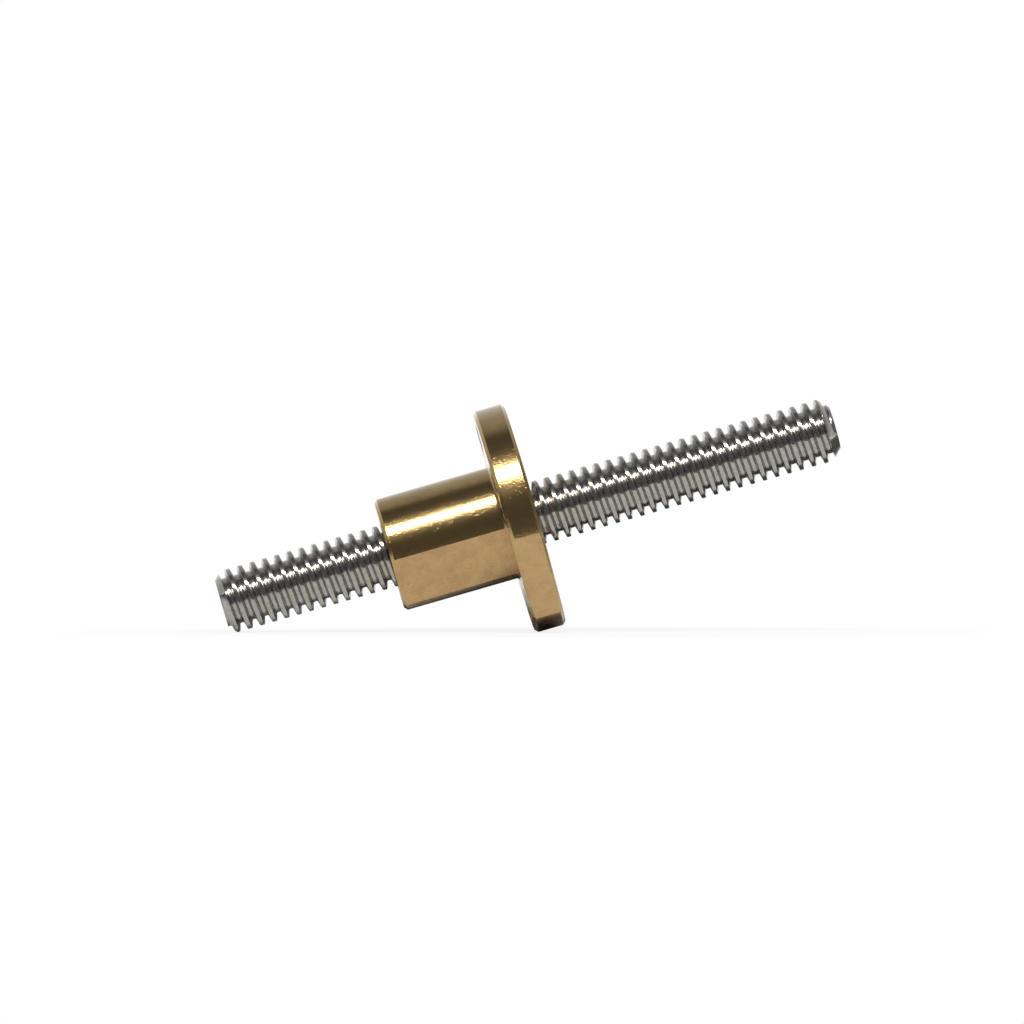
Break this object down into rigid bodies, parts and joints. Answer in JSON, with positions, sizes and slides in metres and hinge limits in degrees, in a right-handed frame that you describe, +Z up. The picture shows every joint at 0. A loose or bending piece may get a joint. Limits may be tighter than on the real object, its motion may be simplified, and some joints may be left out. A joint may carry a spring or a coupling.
{
  "type": "lead screw nut",
  "caption": "Flanged brass nut on a trapezoidal lead screw; turning one against the other moves the nut along the rod.",
  "frame": {"origin": "middle of the bounding box's underside, on the surface that the pair lies on", "axes": "+Z up from the surface; the screw's axis lies in the XZ plane and climbs towards +X at 16.01 degrees, with the flange's plain side facing +X; both flats face -Y and down"},
  "size_m": [0.0982, 0.036, 0.0364],
  "materials": {
    "rolled_steel": "thread-rolled bright steel, oiled",
    "turned_brass": "fine-turned brass with milled flats"
  },
  "bodies": {
    "screw": {"lead_screw": "rolled_steel"},
    "nut": {"flanged_nut": "turned_brass"}
  },
  "joints": [
    {"name": "nut_travel", "type": "slide", "parent": "screw", "child": "nut", "axis": [0.9612, 0, 0.2758], "range_m": [-0.026, 0.046]}
  ]
}
